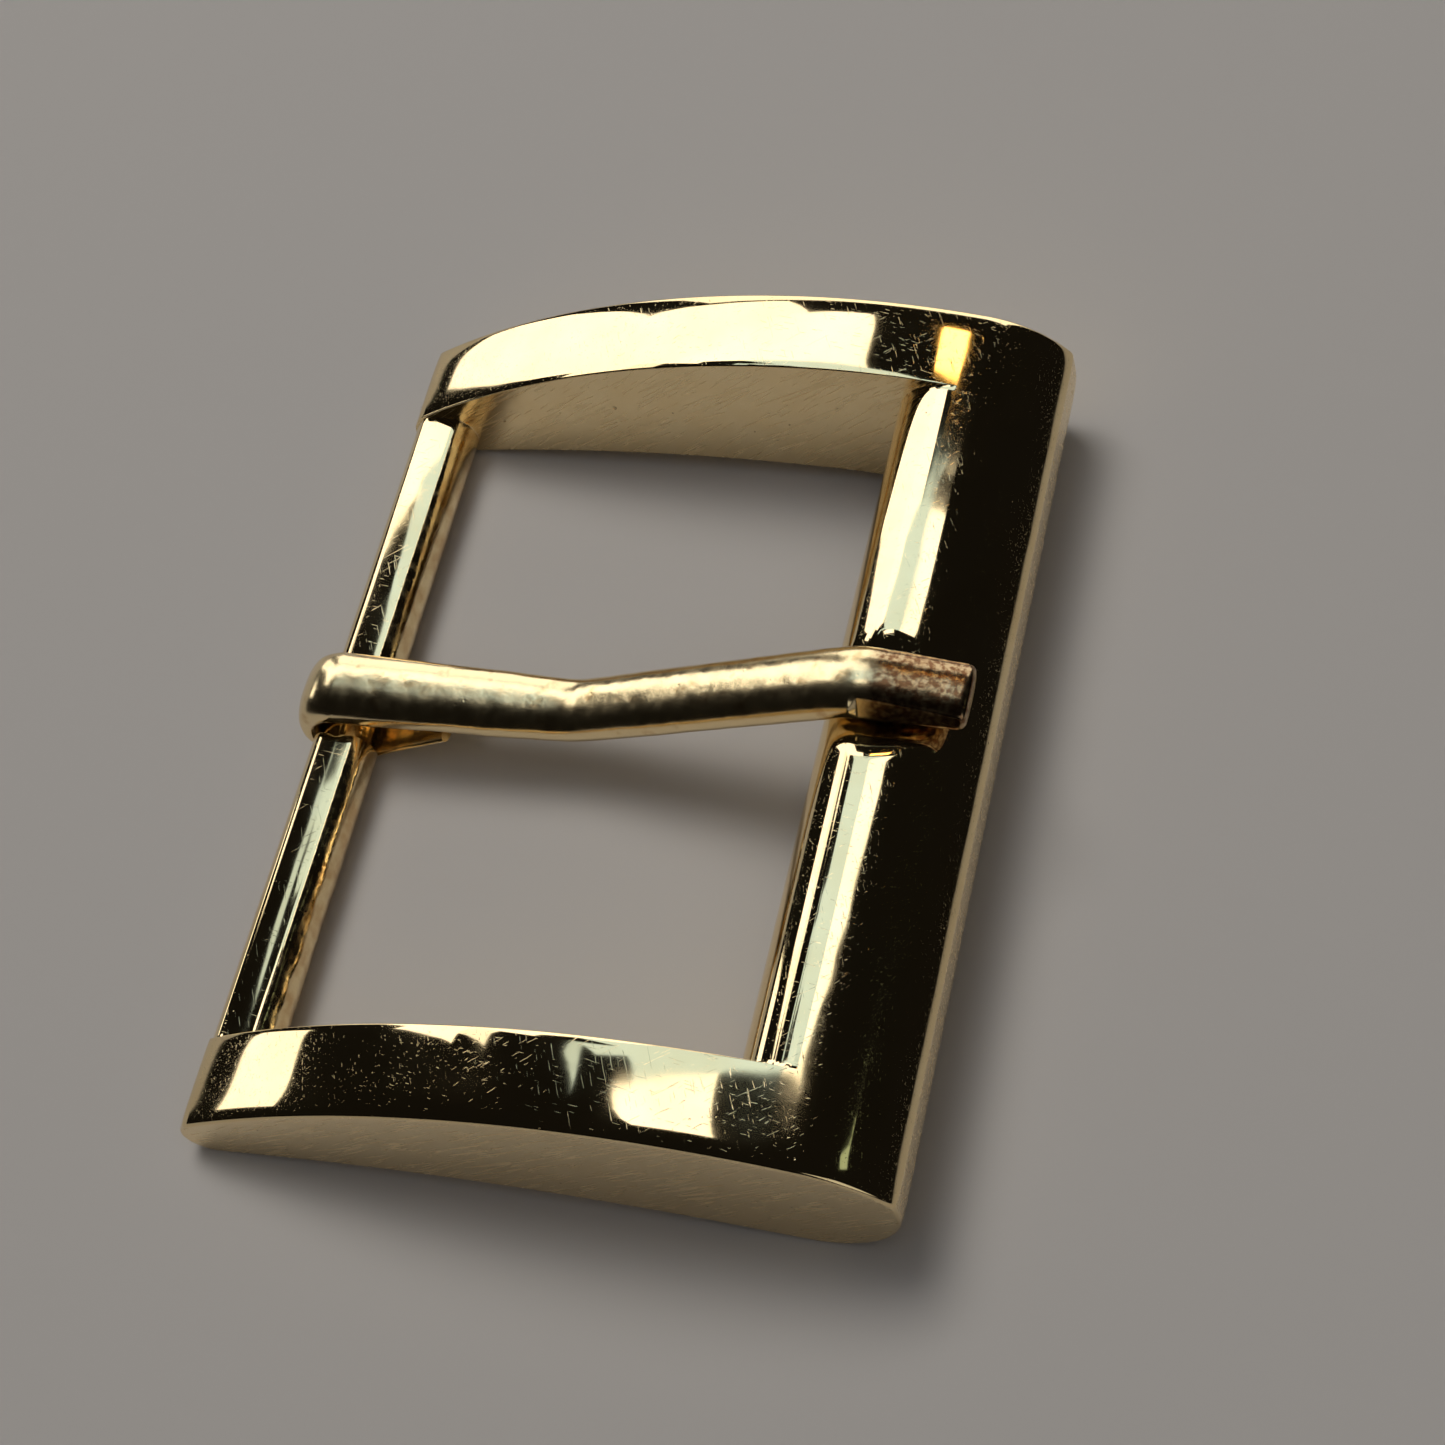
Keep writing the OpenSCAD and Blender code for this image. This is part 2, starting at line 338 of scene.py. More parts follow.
def meetCircle(start, direction, centre, radius):
    # the further of the two points where a line meets a circle
    offset = start - centre
    half = offset.dot(direction)
    root = math.sqrt(half * half - offset.dot(offset) + radius * radius)
    return start + direction * (root - half)


def upperCentre(centreA, radiusA, centreB, radiusB):
    # upper left of the two points at set distances from two centres
    gap = (centreB - centreA).length
    along = (radiusA ** 2 - radiusB ** 2 + gap * gap) / (2 * gap)
    side = math.sqrt(radiusA ** 2 - along * along)
    unit = (centreB - centreA) / gap
    return centreA + unit * along + Vector((-unit.y, unit.x)) * side


def clockwise(centre, first, last):
    # degrees turned on the way from one point to another
    a = math.atan2(first.y - centre.y, first.x - centre.x)
    b = math.atan2(last.y - centre.y, last.x - centre.x)
    return math.degrees(a - b) % 360


def smoothStep(value):
    value = min(1.0, max(0.0, value))
    return value * value * (3 - 2 * value)


def softMin(a, b, width):
    h = max(width - abs(a - b), 0.0) / width
    return min(a, b) - h * h * width / 4


def between(table, x):
    # eased from one (x, value) pair to the next
    for (x0, y0), (x1, y1) in zip(table, table[1:]):
        if x <= x1:
            return y0 + (y1 - y0) * smoothStep((x - x0) / (x1 - x0))
    return table[-1][1]


casting = {
    "length": 34.3,
    "archHeight": 9.1,
    "archRadius": 40.2,
    "archPeak": 22.19,
    "heelNose": 1.45,
    "heelSlope": 30,
    "undersideRise": 1.1,
    "frontNose": 4.4,
    "frontFace": 0.5,
    "frontEdge": 5.5,
    "shoulder": 6.3,
    "innerEdge": 2.6,
    "innerFoot": 9.2,
    "innerLean": 16,
    "railWidth": 4.4,
    "windowHalf": 17.5,
    "edgeRound": 0.16,
    "endBorder": 0.12,
    "crownDepth": 0.085,
    "innerCrown": 0.03,
    "innerRound": 0.07,
    "crownPower": 5,
    "crownRows": (-0.86, -0.78, -0.68, -0.56, -0.4, -0.2, 0, 0.2, 0.4, 0.56, 0.68, 0.78, 0.86),
    "innerFade": 8.0,
    "footFade": 1.0,
    "footSink": 0.1,
    "fillet": 0.25,
    "barFillet": 0.1,
    "barCentre": (1.9, 1.6),
    "barRadius": 1.6,
    "barTop": 2.95,
    "barCrown": 14,
    "barFoot": 0.3,
    "barFootEnd": 6.5,
    "barEnd": 3.9,
    "barSteps": 22,
    "barSpacing": 0.25,
    "neckCentre": (1.9, 1.75),
    "neckRadius": 1.2,
    "neckHalf": 2.0,
    "neckRows": (-2.72, -2.70, -2.68, -2.3, -1.9, -1.5, -1.30, -1.28, -0.9, -0.45, 0.0),
    "scoopRadius": 7.6,
    "scoopDepth": 0.6,
    "scoopPeak": 28.4,
    "scoopRim": 0.35,
    "scoopRise": 0.365,
    "scoopFall": 0.088,
    "scoopEase": 0.15,
    "scoopFrom": (24.5, 4),
    "scoopReach": 5.5,
    "skinDepth": 0.07,
    "skinFrom": 6.5,
    "skinInner": 2.55,
    "skinTop": 2.94,
    "flashHeight": 2.2,
    "flashWidth": 0.22,
}


def traceSide(c):
    # one vertex swept round the side view of a rail, clockwise from under the heel
    nose = Vector((c["heelNose"], c["heelNose"]))
    arch = Vector((c["archPeak"], c["archHeight"] - c["archRadius"]))
    face = Vector((c["length"] - c["frontFace"], c["frontEdge"]))
    shoulder = upperCentre(arch, c["archRadius"] - c["shoulder"], face, c["shoulder"] - c["frontFace"])
    slope = math.radians(c["heelSlope"])
    heelTouch = nose + Vector((-math.cos(slope), math.sin(slope))) * c["heelNose"]
    slopeTop = meetCircle(heelTouch, Vector((math.sin(slope), math.cos(slope))), arch, c["archRadius"])
    toeX = c["length"] - c["frontNose"]
    span = toeX - c["heelNose"]
    underRadius = (span * span / 4 + c["undersideRise"] ** 2) / (2 * c["undersideRise"])
    under = Vector((c["heelNose"] + span / 2, c["undersideRise"] - underRadius))
    lean = math.radians(c["innerLean"])
    foot = Vector((c["length"] - c["innerFoot"], c["undersideRise"] - c["footSink"]))
    up = Vector((math.sin(lean), math.cos(lean)))
    inward = Vector((math.cos(lean), -math.sin(lean)))
    inner = meetCircle(foot + inward * c["innerEdge"], up, arch, c["archRadius"] - c["innerEdge"])
    innerTop = arch + (inner - arch).normalized() * c["archRadius"]
    archEnd = arch + (shoulder - arch).normalized() * c["archRadius"]
    faceTouch = face + (face - shoulder).normalized() * c["frontFace"]
    underside = under.y + math.sqrt(underRadius ** 2 - (foot.x - under.x) ** 2)
    footEnd = foot - up * ((foot.y - underside) / up.y)
    leanTop = inner - inward * c["innerEdge"]

    bm = bmesh.new()
    order = bm.verts.layers.int.new("order")
    path = [bm.verts.new((c["heelNose"], 0, 0))]
    marks = {}

    def arc(centre, turn, steps):
        for k in range(steps):
            made = bmesh.ops.extrude_vert_indiv(bm, verts=[path[-1]])["verts"]
            bmesh.ops.rotate(bm, verts=made, cent=(centre.x, 0, centre.y),
                             matrix=Matrix.Rotation(math.radians(turn) / steps, 3, "Y"))
            path.append(made[0])

    def line(end, steps):
        start = path[-1].co.copy()
        for k in range(1, steps + 1):
            made = bmesh.ops.extrude_vert_indiv(bm, verts=[path[-1]])["verts"]
            made[0].co = start.lerp(Vector((end.x, 0, end.y)), k / steps)
            path.append(made[0])

    arc(nose, 90, 16)
    marks["heelLeft"] = len(path) - 1
    arc(nose, c["heelSlope"], 6)
    line(slopeTop, 6)
    arc(arch, clockwise(arch, slopeTop, innerTop), 80)
    marks["innerTop"] = len(path) - 1
    arc(arch, clockwise(arch, innerTop, archEnd), 12)
    arc(shoulder, clockwise(shoulder, archEnd, faceTouch), 44)
    arc(face, clockwise(face, faceTouch, Vector((c["length"], c["frontEdge"]))), 6)
    line(Vector((c["length"], c["frontNose"])), 2)
    arc(Vector((toeX, c["frontNose"])), 90, 28)
    line(footEnd, 1)
    marks["foot"] = len(path) - 1
    arc(under, -clockwise(under, Vector((c["barFootEnd"], under.y + underRadius)), footEnd), 16)
    marks["barFoot"] = len(path) - 1
    here = Vector((path[-1].co.x, path[-1].co.z))
    arc(under, -clockwise(under, Vector((c["heelNose"], 0)), here), 8)
    bmesh.ops.remove_doubles(bm, verts=[path[0], path[-1]], dist=0.05)
    path = [vert for vert in path if vert.is_valid]

    # the front bar's inner side: round the edge, then straight down to the foot
    start = math.atan2(innerTop.y - inner.y, innerTop.x - inner.x)
    turn = math.radians(180 - c["innerLean"]) - start
    angles = [start + turn * k / 44 for k in range(1, 45)]
    curve = [inner + Vector((math.cos(angle), math.sin(angle))) * c["innerEdge"] for angle in angles]
    curve += [leanTop.lerp(footEnd, k / 10) for k in range(1, 10)]
    return bm, order, path, marks, curve


def buildCasting(c):
    bm, order, path, marks, curve = traceSide(c)
    count = len(path)
    flat = [Vector((vert.co.x, vert.co.z)) for vert in path]
    for index, vert in enumerate(path):
        vert[order] = index
    outward = []
    for index in range(count):
        along = (flat[(index + 1) % count] - flat[index - 1]).normalized()
        outward.append(Vector((-along.y, along.x)))
    distance = [0.0]
    for index in range(1, count):
        distance.append(distance[-1] + (flat[index] - flat[index - 1]).length)

    # how much of the rounded inner edge a point takes: none along the front bar
    def innerShare(index):
        if marks["innerTop"] <= index <= marks["foot"]:
            return 0.0
        if index < marks["innerTop"]:
            return smoothStep((distance[marks["innerTop"]] - distance[index]) / c["innerFade"])
        return smoothStep((distance[index] - distance[marks["foot"]]) / c["footFade"])

    shares = [innerShare(index) for index in range(count)]
    face = bmesh.ops.contextual_create(bm, geom=bm.edges[:])["faces"][0]

    def place(target, y, depths):
        for vert in target.verts:
            index = vert[order]
            spot = flat[index] - outward[index] * depths[index]
            vert.co = (spot.x, y, spot.y)

    def extrude(target):
        return bmesh.ops.extrude_discrete_faces(bm, faces=[target])["faces"][0]

    innerY = -c["windowHalf"]
    half = c["windowHalf"] + c["railWidth"]
    radius, inside = c["edgeRound"], c["innerRound"]
    quarter = [math.radians(a) for a in (0, 18, 36, 54, 72, 90)]
    rows = [(-half, radius + c["endBorder"])]
    rows += [(-half + radius * (1 - math.cos(a)), radius * (1 - math.sin(a))) for a in quarter]
    rows += [(-half + c["railWidth"] * (s + 1) / 2, 0.0) for s in c["crownRows"]]
    rows += [(innerY - inside * (1 - math.cos(a)), inside * (1 - math.sin(a))) for a in quarter[::-1]]
    for number, (y, inset) in enumerate(rows):
        s = (y + half) / c["railWidth"] * 2 - 1
        crown = (c["crownDepth"] if s < 0 else c["innerCrown"]) * abs(s) ** c["crownPower"]
        depths = [(inset + crown) * (shares[index] if s > 0 else 1.0) for index in range(count)]
        if number:
            face = extrude(face)
        place(face, y, depths)

    # the inner side is split into the front bar's end, the heel bar's end and the rest
    corners = {vert[order]: vert for vert in face.verts}
    front = bmesh.utils.face_split(face, corners[marks["innerTop"]], corners[marks["foot"]],
                                   coords=[(p.x, innerY, p.y) for p in curve])[0]
    footX = flat[marks["foot"]].x
    if corners[marks["innerTop"] + 20] not in front.verts:
        front, face = face, front

    def barPoint(angle):
        x = c["barCentre"][0] + c["barRadius"] * math.cos(angle)
        z = c["barCentre"][1] + c["barRadius"] * math.sin(angle)
        top = c["barTop"] - (x - c["barCentre"][0]) ** 2 / (2 * c["barCrown"])
        return Vector((x, innerY, min(max(z, c["barFoot"]), top)))

    steps = c["barSteps"]
    upper = [barPoint(math.pi - math.pi * k / steps) for k in range(steps + 1)]
    lower = [barPoint(math.pi + math.pi * k / steps) for k in range(1, steps)]
    other = bmesh.utils.face_split(face, corners[marks["heelLeft"]], corners[marks["barFoot"]],
                                   coords=upper)[0]
    left = min(other.verts, key=lambda vert: (vert.co - upper[0]).length)
    right = min(other.verts, key=lambda vert: (vert.co - upper[-1]).length)
    underFace, upperFace = sorted((face, other), key=lambda part: part.calc_area())
    barFace = bmesh.utils.face_split(underFace, left, right, coords=lower)[0]
    if barFace.calc_area() < underFace.calc_area():
        barFace, underFace = underFace, barFace

    # rungs across the rail's flat inner side, so that no facet is long and thin
    high = [corners[index] for index in range(marks["heelLeft"] + 1, marks["innerTop"])]
    low = sorted((vert for vert in upperFace.verts if vert not in high and vert.co.z < c["barTop"] + 0.1
                  and 0.9 < vert.co.x < footX + 0.1), key=lambda vert: vert.co.x)
    rest = upperFace
    sides = [underFace]
    for vert in low[::2]:
        partner = min(high, key=lambda top: abs(top.co.x - vert.co.x - 0.04 * (top.co.z - vert.co.z)))
        if partner not in rest.verts or vert not in rest.verts:
            continue
        made = bmesh.utils.face_split(rest, vert, partner)[0]
        if made.calc_center_median().x > rest.calc_center_median().x:
            rest, made = made, rest
        sides.append(made)
    sides.append(rest)
    barEdges = list(barFace.edges)
    frontEdges = [edge for edge in front.edges if any(f in sides for f in edge.link_faces)]

    def drawnTo(target, stops):
        for stop in stops:
            target = extrude(target)
            for vert in target.verts:
                vert.co.y = stop
        return target

    # both bars run to the middle: the front bar has closer rows where its rest is scooped,
    # the heel bar where its neck steps in
    frontRows = [innerY + 0.3] + [innerY + 0.8 + (10.7 / 22) * k for k in range(23)]
    frontRows += [-6.0 + 0.15 * k for k in range(1, 41)]
    barRows = [innerY + c["barSpacing"] * k for k in range(1, 59)]
    front = drawnTo(front, frontRows)
    barFace = drawnTo(barFace, barRows + list(c["neckRows"]))
    bmesh.ops.delete(bm, geom=[front, barFace], context="FACES_ONLY")
    for edges, offset, segments in ((frontEdges, c["fillet"], 4), (barEdges, c["barFillet"], 3)):
        edges = [edge for edge in edges if edge.is_valid]
        bmesh.ops.bevel(bm, geom=edges, offset=offset, offset_type="OFFSET", segments=segments,
                        profile=0.5, affect="EDGES", clamp_overlap=True, material=-1)
    rim = [edge for edge in bm.edges
           if edge.is_boundary and all(vert.co.y < -half + 0.001 for vert in edge.verts)]
    bmesh.ops.contextual_create(bm, geom=rim)
    bmesh.ops.mirror(bm, geom=bm.verts[:] + bm.edges[:] + bm.faces[:], matrix=Matrix.Identity(4),
                     merge_dist=0.0005, axis="Y")
    bmesh.ops.remove_doubles(bm, verts=bm.verts[:], dist=0.0005)
    bmesh.ops.recalc_face_normals(bm, faces=bm.faces[:])
    return bm, half


def scoopRest(bm, c):
    # the rest is pressed into the front bar with a soft polished rim
    reach = c["scoopPeak"] - c["archPeak"]
    archTop = c["archHeight"] - c["archRadius"] + math.sqrt(c["archRadius"] ** 2 - reach ** 2)
    for vert in bm.verts:
        x, y, z = vert.co
        offset = y - tongueY
        if x < c["scoopFrom"][0] or z < c["scoopFrom"][1] or abs(offset) > c["scoopReach"]:
            continue
        past = x - c["scoopPeak"]
        bottom = archTop - c["scoopDepth"]
        bottom += softMin(c["scoopRise"] * past, -c["scoopFall"] * past, c["scoopEase"])
        wall = bottom + c["scoopRadius"] - math.sqrt(c["scoopRadius"] ** 2 - offset ** 2)
        vert.co.z = softMin(z, wall, c["scoopRim"])


def shapeBar(bm, c):
    # neck under the tongue's eye, and the casting skin on the bar's inner side
    low, high = tongueY - c["neckHalf"] + 0.01, tongueY + c["neckHalf"] - 0.01
    for vert in bm.verts:
        x, y, z = vert.co
        if x > c["barEnd"] or abs(y) > c["windowHalf"] - 0.15:
            continue
        if low < y < high:
            angle = math.atan2(z - c["barCentre"][1], x - c["barCentre"][0])
            vert.co.x = c["neckCentre"][0] + c["neckRadius"] * math.cos(angle)
            vert.co.z = c["neckCentre"][1] + c["neckRadius"] * math.sin(angle)
            continue
        # the skin is thickest towards the -Y rail, where a line of flash runs along the bar
        fade = smoothStep((c["windowHalf"] - 0.2 - abs(y)) / 0.8)
        fade *= 0.12 + 0.88 * smoothStep((-y - c["skinFrom"]) / 4)
        inner = smoothStep((x - c["skinInner"]) / 0.5) * smoothStep((c["skinTop"] - z) / 0.3)
        lump = noise.noise(Vector((x * 1.4, y * 1.1, z * 2.2)))
        lump += 0.6 * noise.noise(Vector((x * 3, y * 2.7, z * 4)))
        flash = math.exp(-((z - c["flashHeight"]) / c["flashWidth"]) ** 2)
        flash *= 0.4 + noise.noise(Vector((y * 0.9, 3, 7)))
        vert.co.x += inner * fade * c["skinDepth"] * (lump * 0.8 + max(0, flash) * 1.1)


def paintCasting(bm, c, half):
    # 0 polished, 1 satin, 2 rough
    for face in bm.faces:
        centre = face.calc_center_median()
        away = abs(centre.y)
        flatEnd = abs(face.normal.y) > 0.97 and (away > half - 0.01 or abs(away - c["windowHalf"]) < 0.05)
        frontFace = face.normal.x > 0.97 and centre.x > c["length"] - 0.5
        onBar = centre.x < c["barEnd"] and away < c["windowHalf"] - 0.02
        if flatEnd or frontFace or face.normal.z < -0.75:
            face.material_index = 1
        elif onBar and (face.normal.x > 0.35 or face.normal.z < -0.2):
            face.material_index = 2
        else:
            face.material_index = 0


castingMesh, endY = buildCasting(casting)
scoopRest(castingMesh, casting)
shapeBar(castingMesh, casting)
castingMesh.normal_update()
paintCasting(castingMesh, casting, endY)
newPiece(castingMesh, "buckleFrame", [finishes["polished"], finishes["satin"], finishes["rough"]],
         "frame", "frame")
print("frame casting built")


tongueShape = {
    "ringPoints": 48,
    "squareness": 2.45,
    "spacing": 0.16,
    "tip": (33.18, 8.60),
    "highBend": (28.4, 9.14),
    "lowBend": (13.9, 3.88),
    "root": (1.9, 3.93),
    "smoothing": 34,
    "widths": [(0, 3.70), (3, 3.66), (9, 3.42), (13.9, 3.14), (19, 3.30), (28.4, 3.42), (34, 3.22)],
    "thicknesses": [(0, 1.9), (6, 1.86), (13.9, 1.84), (28.4, 1.92), (34, 1.35)],
    "eyeCentre": (1.9, 2.46),
    "eyeRadius": 2.42,
    "holeCentre": (1.9, 1.75),
    "holeRadius": 1.30,
    "eyeSteps": 66,
    "eyeNarrowing": 0.25,
    "tailSlope": 27,
    "tailLength": 5.2,
    "tailSteps": 24,
    "tipRound": 0.42,
    "tipShrink": 0.62,
    "tipFace": 0.12,
    "facetFrom": 28.7,
    "facetLean": 24,
    "facetOut": 1.38,
    "dimpleDepth": 0.009,
}


def buildTongue(t):
    # centre line of the bar from its tip to the eye, with its bends eased
    corners = [Vector(t[name]) for name in ("tip", "highBend", "lowBend", "root")]
    line = [corners[0]]
    for start, end in zip(corners, corners[1:]):
        steps = round((end - start).length / t["spacing"])
        line += [start.lerp(end, k / steps) for k in range(1, steps + 1)]
    for _ in range(t["smoothing"]):
        eased = [(line[k - 1] + line[k] * 2 + line[k + 1]) / 4 for k in range(1, len(line) - 1)]
        line = [line[0]] + eased + [line[-1]]
    stations = []
    for k, point in enumerate(line):
        along = (line[min(k + 1, len(line) - 1)] - line[max(k - 1, 0)]).normalized()
        up = Vector((along.y, -along.x))
        stations.append((point, up, between(t["widths"], point.x), between(t["thicknesses"], point.x)))
    # round the eye and down the tail
    eye, hole = Vector(t["eyeCentre"]), Vector(t["holeCentre"])
    slope = math.radians(t["tailSlope"])
    last = math.radians(270) + slope
    for k in range(1, t["eyeSteps"] + 1):
        angle = math.radians(90) + (last - math.radians(90)) * k / t["eyeSteps"]
        ray = Vector((math.cos(angle), math.sin(angle)))
        outer, inside = eye + ray * t["eyeRadius"], hole + ray * t["holeRadius"]
        width = t["widths"][0][1] - t["eyeNarrowing"] * smoothStep((angle - math.pi) / math.pi)
        stations.append(((outer + inside) / 2, (outer - inside).normalized(), width, (outer - inside).length))
    point, up, width, thickness = stations[-1]
    for k in range(1, t["tailSteps"] + 1):
        spot = point + Vector((math.cos(slope), math.sin(slope))) * t["tailLength"] * k / t["tailSteps"]
        stations.append((spot, up, width, thickness))

    def matrixOf(station, shrink, push):
        spot, up, width, thickness = station
        along = Vector((up.y, 0, -up.x))
        centre = Vector((spot.x, tongueY, spot.y)) + along * push
        across = Vector((0, 1, 0)) * (width / 2 * shrink)
        rise = Vector((up.x, 0, up.y)) * (thickness / 2 * shrink)
        return Matrix(((across.x, rise.x, along.x, centre.x), (across.y, rise.y, along.y, centre.y),
                       (across.z, rise.z, along.z, centre.z), (0, 0, 0, 1)))

    bm = bmesh.new()
    bmesh.ops.create_circle(bm, cap_ends=False, radius=1, segments=t["ringPoints"])
    power = 2 / t["squareness"]
    for vert in bm.verts:
        angle = math.atan2(vert.co.y, vert.co.x)
        cosine, sine = math.cos(angle), math.sin(angle)
        vert.co.x = math.copysign(abs(cosine) ** power, cosine)
        vert.co.y = math.copysign(abs(sine) ** power, sine)
    ring = bm.edges[:]
    quarter = [math.radians(a) for a in (90, 72, 54, 36, 18, 0)]
    rounding = t["tipRound"]
    steps = [(stations[0], 1 - rounding * (1 - math.cos(a)) * t["tipShrink"], rounding * math.sin(a))
             for a in quarter]
    steps = [(stations[0], steps[0][1] - t["tipFace"], steps[0][2])] + steps
    steps += [(station, 1.0, 0.0) for station in stations[1:]]
    before = None
    for station, shrink, push in steps:
        now = matrixOf(station, shrink, push)
        if before is None:
            bmesh.ops.transform(bm, matrix=now, verts=bm.verts[:])
        else:
            made = bmesh.ops.extrude_edge_only(bm, edges=ring)["geom"]
            verts = [item for item in made if isinstance(item, bmesh.types.BMVert)]
            ring = [item for item in made if isinstance(item, bmesh.types.BMEdge)
                    and all(vert in set(verts) for vert in item.verts)]
            bmesh.ops.transform(bm, matrix=now @ before.inverted(), verts=verts)
        before = now
    bmesh.ops.holes_fill(bm, edges=[e for e in bm.edges if e.is_boundary], sides=0)
    bmesh.ops.recalc_face_normals(bm, faces=bm.faces[:])
    return bm, line


def hammerTongue(bm, t, line):
    # shallow dents all over, apart from inside the eye
    bm.normal_update()
    moves = {}
    for vert in bm.verts:
        spot = vert.co
        dents = noise.noise(spot * 1.3) * 1.3 + noise.noise(spot * 2.6 + Vector((9, 2, 4))) * 0.7
        inEye = (Vector((spot.x, spot.z)) - Vector(t["holeCentre"])).length < t["holeRadius"] + 0.25
        moves[vert] = vert.normal * dents * (0.0 if inEye else t["dimpleDepth"])
    for vert, move in moves.items():
        vert.co += move
    # a flat filed on the -Y side of the tip
    cosine, sine = math.cos(math.radians(t["facetLean"])), math.sin(math.radians(t["facetLean"]))
    for vert in bm.verts:
        if vert.co.x < t["facetFrom"]:
            continue
        centre = min(line, key=lambda p: abs(p.x - vert.co.x))
        aside, rise = tongueY - vert.co.y, vert.co.z - centre.y
        over = aside * cosine + rise * sine - t["facetOut"]
        if over > 0:
            vert.co.y += over * cosine
            vert.co.z -= over * sine


tongueMesh, tongueLine = buildTongue(tongueShape)
hammerTongue(tongueMesh, tongueShape, tongueLine)
newPiece(tongueMesh, "buckleTongue", [finishes["tongue"]], "tongue", "tongue")
print("tongue built")


paleFloor = {
    "size": 1.2,
    "colour": (0.60, 0.575, 0.55, 1),
    "roughness": 0.75,
    "specular": 0.15,
}


def buildFloor(f):
    bm = bmesh.new()
    bmesh.ops.create_grid(bm, x_segments=2, y_segments=2, size=f["size"])
    mesh = bpy.data.meshes.new("floor")
    bm.to_mesh(mesh)
    bm.free()
    floor = bpy.data.objects.new("floor", mesh)
    bpy.context.scene.collection.objects.link(floor)
    material = bpy.data.materials.new("paleFloor")
    material.use_nodes = True
    shader = material.node_tree.nodes["Principled BSDF"]
    shader.inputs["Base Color"].default_value = f["colour"]
    shader.inputs["Roughness"].default_value = f["roughness"]
    shader.inputs["Specular IOR Level"].default_value = f["specular"]
    mesh.materials.append(material)


buildFloor(paleFloor)


# lights

def addLamp(name, width, height, colour, radiance, spot):
    data = bpy.data.lights.new(name, "AREA")
    data.shape = "RECTANGLE"
    data.size, data.size_y = width, height
    data.color = colour
    data.energy = radiance * math.pi * width * height
    lamp = bpy.data.objects.new(name, data)
    bpy.context.scene.collection.objects.link(lamp)
    lamp.location = spot
    return lamp


def wallPanel(name, wall, low, high, colour, radiance):
    # only reflected, on the wall ahead (+Y) or on the left (-X); corners are in wall distances
    reach = 0.6
    width, height = (high[0] - low[0]) * reach, (high[1] - low[1]) * reach
    along, up = (low[0] + high[0]) / 2 * reach, (low[1] + high[1]) / 2 * reach
    ahead = wall == "ahead"
    spot = (along, reach, up) if ahead else (-reach, along, up)
    lamp = addLamp(name, width, height, colour, radiance, spot)
    lamp.rotation_euler = (math.radians(-90), 0, 0 if ahead else math.radians(90))
    lamp.visible_diffuse = False


def softLamp(name, azimuth, elevation, distance, size, colour, radiance, seen):
    # azimuth counts from +Y towards +X; a lamp either lights the floor or is seen in the brass
    a, e = math.radians(azimuth), math.radians(elevation)
    spot = Vector((math.sin(a) * math.cos(e), math.cos(a) * math.cos(e), math.sin(e))) * distance
    lamp = addLamp(name, size, size, colour, radiance, spot)
    lamp.rotation_mode = "QUATERNION"
    lamp.rotation_quaternion = spot.to_track_quat("Z", "Y")
    lamp.visible_glossy = seen
    lamp.visible_diffuse = not seen


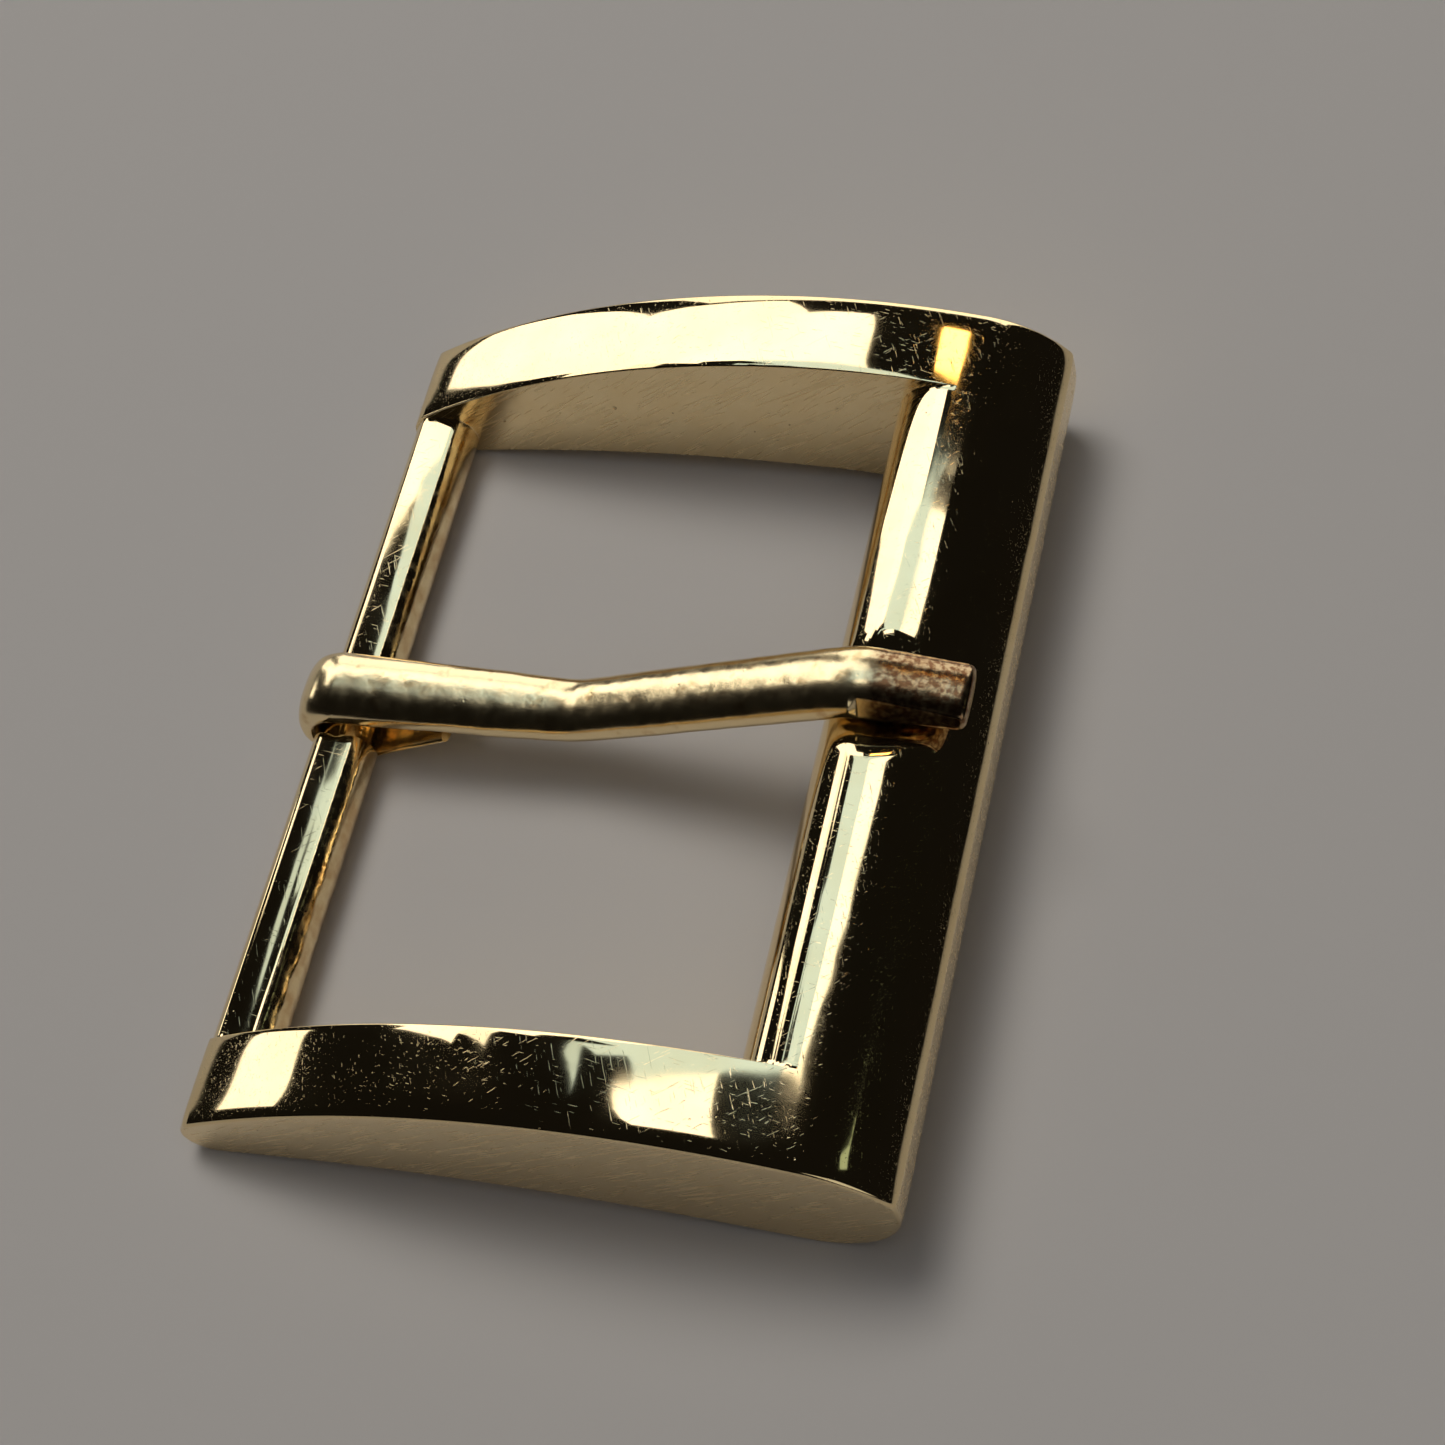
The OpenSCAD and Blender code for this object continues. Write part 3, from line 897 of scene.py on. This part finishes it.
cream = (1.0, 0.98, 0.93)
sky = (0.66, 0.86, 1.0)
amber = (1.0, 0.62, 0.2)
leafy = (0.80, 1.0, 0.72)
panels = [
    ("windowSky", "ahead", (-0.78, 1.50), (0.20, 2.70), sky, 1.2),
    ("windowSkySide", "ahead", (-1.0, 2.05), (-0.78, 2.35), sky, 1.15),
    ("windowSkyCorner", "left", (0.80, 1.95), (1.0, 2.15), sky, 1.0),
    ("windowEdge", "ahead", (0.20, 1.52), (0.32, 2.70), cream, 2.0),
    ("windowTop", "ahead", (-0.95, 2.70), (-0.20, 3.7), cream, 2.0),
    ("windowSill", "ahead", (-1.0, 1.22), (-0.2, 1.50), cream, 2.0),
    ("sideWindow", "left", (0.64, 0.06), (1.00, 1.0), cream, 1.9),
    ("sideUpper", "left", (0.50, 0.66), (0.64, 1.0), cream, 1.9),
    ("sillLow", "ahead", (-1.0, 0.90), (-0.45, 1.22), cream, 1.9),
    ("roomGlow", "ahead", (-0.72, 0.10), (0.44, 0.85), cream, 1.5),
    ("cornerLow", "left", (0.56, 1.0), (0.84, 1.2), cream, 1.5),
    ("cornerHigh", "left", (0.84, 1.0), (1.0, 1.50), cream, 1.9),
    ("sideGlow", "left", (0.20, 0.12), (0.42, 0.33), cream, 1.8),
    ("warmLamp", "ahead", (0.06, 1.27), (0.16, 1.38), amber, 6.0),
]
for panel in panels:
    wallPanel(*panel)
softLamp("sideGreen", 69, 43, 0.7, 0.07, leafy, 0.5, True)
softLamp("roomBehind", 135, 30, 0.8, 0.6, cream, 0.55, True)
softLamp("keyLight", -40, 68, 0.7, 0.34, (1.0, 0.97, 0.93), 5.3, False)
softLamp("fillLight", 140, 70, 0.8, 0.9, (0.98, 0.98, 1.0), 0.40, False)
print("lights placed")

world = bpy.data.worlds.new("darkRoom")
world.use_nodes = True
world.node_tree.nodes["Background"].inputs["Color"].default_value = (1.0, 0.92, 0.80, 1)
world.node_tree.nodes["Background"].inputs["Strength"].default_value = 0.006
bpy.context.scene.world = world
bpy.context.scene.view_settings.view_transform = "Standard"


# camera
shot = {
    "target": (0.00291, 0.00299, 0.0),
    "azimuth": 32.20,
    "elevation": 57.02,
    "roll": -22.32,
    "distance": 0.13675,
    "lens": 71.0,
}


def placeCamera(s):
    a, e, r = (math.radians(s[name]) for name in ("azimuth", "elevation", "roll"))
    back = Vector((math.sin(a) * math.cos(e), -math.cos(a) * math.cos(e), math.sin(e)))
    right = Vector((math.cos(a), math.sin(a), 0))
    up = back.cross(right)
    across = right * math.cos(r) + up * math.sin(r)
    upward = up * math.cos(r) - right * math.sin(r)
    data = bpy.data.cameras.new("camera")
    data.lens = s["lens"]
    data.sensor_width = 36
    data.clip_start = 0.005
    camera = bpy.data.objects.new("camera", data)
    bpy.context.scene.collection.objects.link(camera)
    spot = Vector(s["target"]) + back * s["distance"]
    camera.matrix_world = Matrix(((across.x, upward.x, back.x, spot.x), (across.y, upward.y, back.y, spot.y),
                                  (across.z, upward.z, back.z, spot.z), (0, 0, 0, 1)))
    bpy.context.scene.camera = camera


placeCamera(shot)
print("scene ready")
